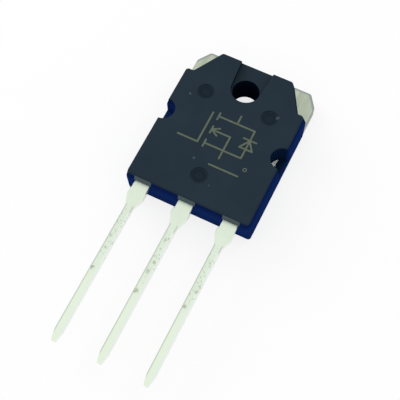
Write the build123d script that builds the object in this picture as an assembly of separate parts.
from build123d import *
import os
from math import radians, tan

# Power MOSFET in a three-lead, screw-mounted plastic package with a copper header.
#
# Millimetres. The origin is the centre of the mounting hole on the back face, the
# face that is pressed against a heatsink. +Z points out of the front face, +Y
# towards the top edge with the hole, and the leads run towards -Y. Seen from the
# front, with the leads down, the gate is on the left (-X), the drain in the middle
# and the source on the right (+X).

# ---- driving dimensions -------------------------------------------------------

# moulded body, measured at the parting plane, where its outline is largest
body_width = 15.6
body_length = 19.3
body_thickness = 4.5
front_half_height = 1.55      # front face above the parting plane
neck_length = 3.6             # ledge to top edge
ledge_width = 1.025           # each side, where the slanted neck meets the body
neck_narrowing = 2.1          # each side, from the ledges to the top edge
front_draft = 12.5            # degrees, walls from the parting plane to the front
back_draft = 1.0              # degrees, walls from the parting plane to the back
lead_end_back_draft = 10.0    # degrees, the one of those walls that is below the leads
plan_corner_radius = 0.35     # upright corners of the body
lead_end_corner_radius = 0.9  # the two beside the leads, at the parting plane only
rim_radius = 0.16             # edge round the front face

# mounting hole and the channel that leads from it to the top edge
hole_diameter = 3.2
hole_to_header_top = 4.5
channel_depth = 0.75
channel_side_gap = 0.2        # channel wall outside the hole, where the channel ends
channel_flare = 4.5           # degrees, each wall, widening to the top edge

# grips on the long sides, which leave the header bare in the mould
notch_radius = 1.4
notch_drop = 6.35             # below the hole
notch_centre_inset = 0.3      # in from the widest outline

# ejector pin marks in the front face
pin_mark_diameter = 2.0
pin_mark_depth = 0.12
pin_mark_offset = 4.03        # of the upper pair, each side of the centre line
upper_pin_mark_drop = 2.3     # below the hole
lower_pin_mark_rise = 3.4     # above the bottom edge of the body

# header: the thick copper plate that carries the die and takes the heat away
header_thickness = 1.5
header_side_cover = 0.9       # compound beside the plate, below its ears
header_end_cover = 3.7        # compound below the plate, which the leads come through
header_overhang = 0.9         # above the top edge of the body
ear_setback = 0.1             # outer side of each bare ear, in from the widest outline
ear_corner_width = 1.1        # sloping corner of each ear, along the top edge
ear_corner_length = 1.6       # the same, along the side
ear_corner_radius = 0.45
ear_root_depth = 0.35         # how far each ear goes into the body under its ledge
header_edge_radius = 0.22     # rolled edge that stamping leaves on the front side
lining_thickness = 0.7        # moulding compound between the header and the hole
lock_step_width = 0.35        # undercut that the compound grips, on the back edges
lock_step_height = 0.5

# leads, stamped from thinner strip
lead_thickness = 0.6
lead_pitch = 5.45
lead_length = 20.1            # outside the body
lead_width = 1.0
lead_root_width = 1.84
lead_root_length = 0.9
dambar_width = 2.05           # where the tie bar between the leads was sheared off
dambar_length = 0.75
shoulder_length = 1.35        # slope from the wide part to the thin part
tip_width = 0.5
tip_length = 1.3
tip_radius = 0.18
lead_edge_radius = 0.07

# inside the body
bond_head_side_cover = 0.65   # compound beside the gate and source heads
bond_head_length = 2.4
bond_head_inset = 0.9         # from the bottom edge of the body
tongue_overlap = 0.3          # how far a lead's strip runs on under its head or riser
anchor_hole_diameter = 0.8
riser_width = 3.0             # strip that lifts the drain lead off the header
riser_angle = 55.0            # degrees
riser_run_in = 0.3            # flat part before the bend
die_width = 6.0
die_length = 6.0
die_thickness = 0.3
die_end_margin = 1.1          # bare plate below the die
solder_thickness = 0.08
solder_margin = 0.15          # solder all round the die
gate_wire_diameter = 0.2
source_wire_diameter = 0.4
source_wire_spacing = 0.85
wire_flattening = 0.15        # share of the diameter pressed flat at each bond
wire_foot = 0.6               # length of each bond
wire_rise_angle = 60.0        # degrees, from the die up to the level run
gate_pad_inset = 0.6          # gate pad, from the sides of the die
source_pad_offset = 1.3       # middle of the source bonds, from the centre of the die
wire_head_clearance = 0.3     # crest of a wire above the bond head, to its underside

# ---- places worked out from them ----------------------------------------------

header_top = hole_to_header_top
body_top = header_top - header_overhang
body_bottom = body_top - body_length
header_bottom = body_bottom + header_end_cover
ledge_y = body_top - neck_length
body_half_width = body_width / 2
plate_half_width = body_half_width - header_side_cover
ear_half_span = body_half_width - ear_setback
ear_bottom = ledge_y - ear_root_depth
plate_shoulder = ear_bottom - (ear_half_span - plate_half_width)
parting_height = body_thickness - front_half_height
lead_top = parting_height + lead_thickness
channel_floor = body_thickness - channel_depth
hole_radius = hole_diameter / 2
header_hole_radius = hole_radius + lining_thickness
die_y = header_bottom + die_end_margin + die_length / 2
die_bottom = header_thickness + solder_thickness
die_top = die_bottom + die_thickness
overrun = 1.0                 # how far a cutting tool runs past the surface it opens


def mirrored(points):
    """The points, then their mirror images across the centre line in reverse."""
    return points + [(-x, y) for x, y in reversed(points)]


def block(x_low, x_high, y_low, y_high, z_low, z_high):
    """A box given by its six faces."""
    return Pos(x_low, y_low, z_low) * Box(
        x_high - x_low, y_high - y_low, z_high - z_low, align=(Align.MIN, Align.MIN, Align.MIN)
    )


# ---- header with its drain lead -----------------------------------------------

def header_outline():
    """Plate with a straight top edge, two ears at its top corners and a narrower body."""
    plate = make_face(Polyline(*mirrored([
        (plate_half_width, header_bottom),
        (plate_half_width, plate_shoulder),
        (ear_half_span, ear_bottom),
        (ear_half_span, header_top - ear_corner_length),
        (ear_half_span - ear_corner_width, header_top),
    ]), close=True))
    cut_corners = plate.vertices().filter_by(lambda v: v.Y > ledge_y)
    return fillet(cut_corners, ear_corner_radius)


def lock_step():
    """Strips cut from the back edges of the plate, below the ears, for the compound to grip."""
    outer = plate_half_width + overrun
    inner = plate_half_width - lock_step_width
    tool = block(-outer, outer, header_bottom - overrun, plate_shoulder, -overrun, lock_step_height)
    kept = block(-inner, inner, header_bottom + lock_step_width, plate_shoulder + overrun,
                 -2 * overrun, header_thickness)
    return tool - kept


def header_plate():
    """The plate, with its front edges rolled over by the stamping."""
    plate = extrude(header_outline(), header_thickness)
    front_edges = plate.faces().sort_by(Axis.Z)[-1].edges()
    plate = fillet(front_edges, header_edge_radius)
    plate -= Cylinder(header_hole_radius, 3 * header_thickness)
    return plate - lock_step()


def riser():
    """The strip that climbs from the front face of the plate to the level of the leads."""
    angle = radians(riser_angle)
    miter = lead_thickness * tan(angle / 2)
    climb = lead_top - header_thickness
    start = header_bottom + header_edge_radius + lead_thickness
    bend = header_bottom - riser_run_in
    crest = bend - climb / tan(angle)
    profile = make_face(Plane.YZ * Polyline(
        (start, header_thickness),
        (bend, header_thickness),
        (crest, lead_top),
        (body_bottom + bond_head_inset, lead_top),
        (body_bottom + bond_head_inset, parting_height),
        (crest - miter, parting_height),
        (bend - miter, header_thickness - lead_thickness),
        (start, header_thickness - lead_thickness),
        close=True,
    ))
    return extrude(profile, riser_width / 2, both=True)


# ---- leads --------------------------------------------------------------------

def lead_outline():
    """Plan of the part of a lead that shows, and a short tongue inside the body."""
    root = lead_root_width / 2
    dambar = dambar_width / 2
    narrow = lead_width / 2
    dambar_top = body_bottom - lead_root_length
    dambar_bottom = dambar_top - dambar_length
    tip = body_bottom - lead_length
    outline = make_face(Polyline(*mirrored([
        (root, body_bottom + bond_head_inset + tongue_overlap),
        (root, dambar_top),
        (dambar, dambar_top),
        (dambar, dambar_bottom),
        (narrow, dambar_bottom - shoulder_length),
        (narrow, tip + tip_length),
        (tip_width / 2, tip),
    ]), close=True))
    tip_corners = outline.vertices().group_by(Axis.Y)[0]
    return fillet(tip_corners, tip_radius)


def lead_strip():
    """The lead at its own height, with its stamped edges eased."""
    strip = extrude(Pos(0, 0, parting_height) * lead_outline(), lead_thickness)
    faces = strip.faces().sort_by(Axis.Z)
    return fillet(faces[0].edges() + faces[-1].edges(), lead_edge_radius)


def signal_lead(x):
    """Gate or source lead: the strip, and the head inside the body that takes the bond."""
    head_low = body_bottom + bond_head_inset
    half_width = body_half_width - bond_head_side_cover - lead_pitch
    head = block(-half_width, half_width, head_low, head_low + bond_head_length,
                 parting_height, lead_top)
    anchor = Pos(0, head_low, parting_height) * Cylinder(anchor_hole_diameter / 2, 3 * lead_thickness)
    return Pos(x, 0, 0) * (lead_strip() + head - anchor)


# ---- die, solder and bond wires -----------------------------------------------

def die():
    """The silicon chip, flat on its solder."""
    return Pos(0, die_y, die_bottom + die_thickness / 2) * Box(die_width, die_length, die_thickness)


def die_attach_solder():
    """The thin layer of solder that joins the die to the header."""
    return Pos(0, die_y, header_thickness + solder_thickness / 2) * Box(
        die_width + 2 * solder_margin, die_length + 2 * solder_margin, solder_thickness
    )


def bond_wire(start, end, diameter):
    """A wire from a pad on the die to a lead's head, pressed flat where it is bonded."""
    seat = diameter * (0.5 - wire_flattening)
    run = (Vector(*end) - Vector(*start)).length
    heading = Vector(end[0] - start[0], end[1] - start[1]).normalized()
    low = die_top + seat
    high = lead_top + seat
    crest = lead_top + wire_head_clearance + diameter / 2
    rise = (crest - low) / tan(radians(wire_rise_angle))
    drop = crest - high
    plane = Plane(origin=(start[0], start[1], 0), x_dir=heading, z_dir=heading.cross(Vector(0, 0, 1)))
    path = plane * Polyline(
        (0, low),
        (wire_foot, low),
        (wire_foot + rise, crest),
        (run - wire_foot - drop, crest),
        (run - wire_foot, high),
        (run, high),
    )
    section = Plane(origin=path @ 0, z_dir=path % 0) * Circle(diameter / 2)
    wire = sweep(section, path=path, transition=Transition.RIGHT)
    below_die_pad = Pos(*start, die_top - diameter) * Box(4 * wire_foot, 4 * wire_foot, 2 * diameter)
    below_head = Pos(*end, lead_top - diameter) * Box(4 * wire_foot, 4 * wire_foot, 2 * diameter)
    return wire - below_die_pad - below_head


def gate_wire():
    """One thin wire from the gate pad in a corner of the die."""
    pad = (-die_width / 2 + gate_pad_inset, die_y - die_length / 2 + gate_pad_inset)
    head = (-lead_pitch, body_bottom + bond_head_inset + bond_head_length - wire_foot)
    return bond_wire(pad, head, gate_wire_diameter)


def source_wires():
    """Two thick wires side by side from the source metal on the die."""
    wires = []
    for side in (-0.5, 0.5):
        shift = side * source_wire_spacing
        pad = (source_pad_offset + shift, die_y - source_pad_offset + shift)
        head = (lead_pitch + shift, body_bottom + bond_head_inset + bond_head_length - wire_foot)
        wires.append(bond_wire(pad, head, source_wire_diameter))
    return wires


# ---- moulded body -------------------------------------------------------------

def body_outline(inset, lead_end_inset, lead_end_radius):
    """Rectangle with a narrowing neck at the top, on two narrow ledges, drawn in all round."""
    neck_half_width = body_half_width - ledge_width
    outline = make_face(Polyline(*mirrored([
        (body_half_width, body_bottom + lead_end_inset - inset),
        (body_half_width, ledge_y),
        (neck_half_width, ledge_y),
        (neck_half_width - neck_narrowing, body_top),
    ]), close=True))
    if inset:
        outline = offset(outline, -inset, kind=Kind.INTERSECTION)
    rows = outline.vertices().group_by(Axis.Y)
    outline = fillet([corner for row in rows[1:] for corner in row], plan_corner_radius)
    return fillet(outline.vertices().group_by(Axis.Y)[0], lead_end_radius)


def drafted_half(far_height, draft, lead_end_draft):
    """From the outline at the parting plane to a smaller one at the front or back face."""
    height = abs(far_height - parting_height)
    inset = height * tan(radians(draft))
    lead_end_inset = height * tan(radians(lead_end_draft))
    return loft([
        Pos(0, 0, parting_height) * body_outline(0, 0, lead_end_corner_radius),
        Pos(0, 0, far_height) * body_outline(inset, lead_end_inset, plan_corner_radius),
    ], ruled=True)


def body_form():
    """Two drafted halves that meet at the parting plane, with an eased front edge."""
    front = drafted_half(body_thickness, front_draft, front_draft)
    back = drafted_half(0, back_draft, lead_end_back_draft)
    front_edges = front.faces().sort_by(Axis.Z)[-1].edges()
    return fillet(front_edges, rim_radius) + back


def channel():
    """Tool for the recess round the hole that runs out through the top edge."""
    end_radius = hole_radius + channel_side_gap
    reach = body_top + overrun
    spread = end_radius + reach * tan(radians(channel_flare))
    floor_plan = Circle(end_radius) + make_face(Polyline(*mirrored([(end_radius, 0), (spread, reach)]),
                                                         close=True))
    return extrude(Pos(0, 0, channel_floor) * floor_plan, channel_depth + overrun)


def side_notch(side):
    """Tool for the half-round grip on one long side, down to the front of the header."""
    x = side * (body_half_width - notch_centre_inset)
    height = body_thickness - header_thickness + overrun
    round_end = Pos(x, -notch_drop, header_thickness) * Cylinder(
        notch_radius, height, align=(Align.CENTER, Align.CENTER, Align.MIN)
    )
    way_out = Pos(x + side * overrun / 2, -notch_drop, header_thickness) * Box(
        overrun, 2 * notch_radius, height, align=(Align.CENTER, Align.CENTER, Align.MIN)
    )
    return round_end + way_out


def pin_marks():
    """Tools for the three shallow round marks that the ejector pins leave."""
    places = [
        (-pin_mark_offset, -upper_pin_mark_drop),
        (pin_mark_offset, -upper_pin_mark_drop),
        (0, body_bottom + lower_pin_mark_rise),
    ]
    height = pin_mark_depth + overrun
    return [
        Pos(x, y, body_thickness - pin_mark_depth) * Cylinder(
            pin_mark_diameter / 2, height, align=(Align.CENTER, Align.CENTER, Align.MIN)
        )
        for x, y in places
    ]


def mould_body(embedded):
    """The moulding compound round everything that it holds."""
    body = body_form() - channel() - Cylinder(hole_radius, 3 * body_thickness)
    for side in (-1, 1):
        body -= side_notch(side)
    for mark in pin_marks():
        body -= mark
    for piece in embedded:
        body -= piece
    return body


# ---- build and write ----------------------------------------------------------

header = header_plate() + riser() + lead_strip()
gate_lead = signal_lead(-lead_pitch)
source_lead = signal_lead(lead_pitch)
silicon_die = die()
solder = die_attach_solder()
gate_bond = gate_wire()
source_bonds = source_wires()
body = mould_body([header, gate_lead, source_lead, silicon_die, solder, gate_bond] + source_bonds)

nodes = {
    "mould_body": body,
    "header_with_drain_lead": header,
    "gate_lead": gate_lead,
    "source_lead": source_lead,
    "silicon_die": silicon_die,
    "die_attach_solder": solder,
    "gate_bond_wire": gate_bond,
    "source_bond_wires": Compound(source_bonds),
}

os.makedirs("parts", exist_ok=True)
for name, shape in nodes.items():
    export_step(shape, f"parts/{name}.step")
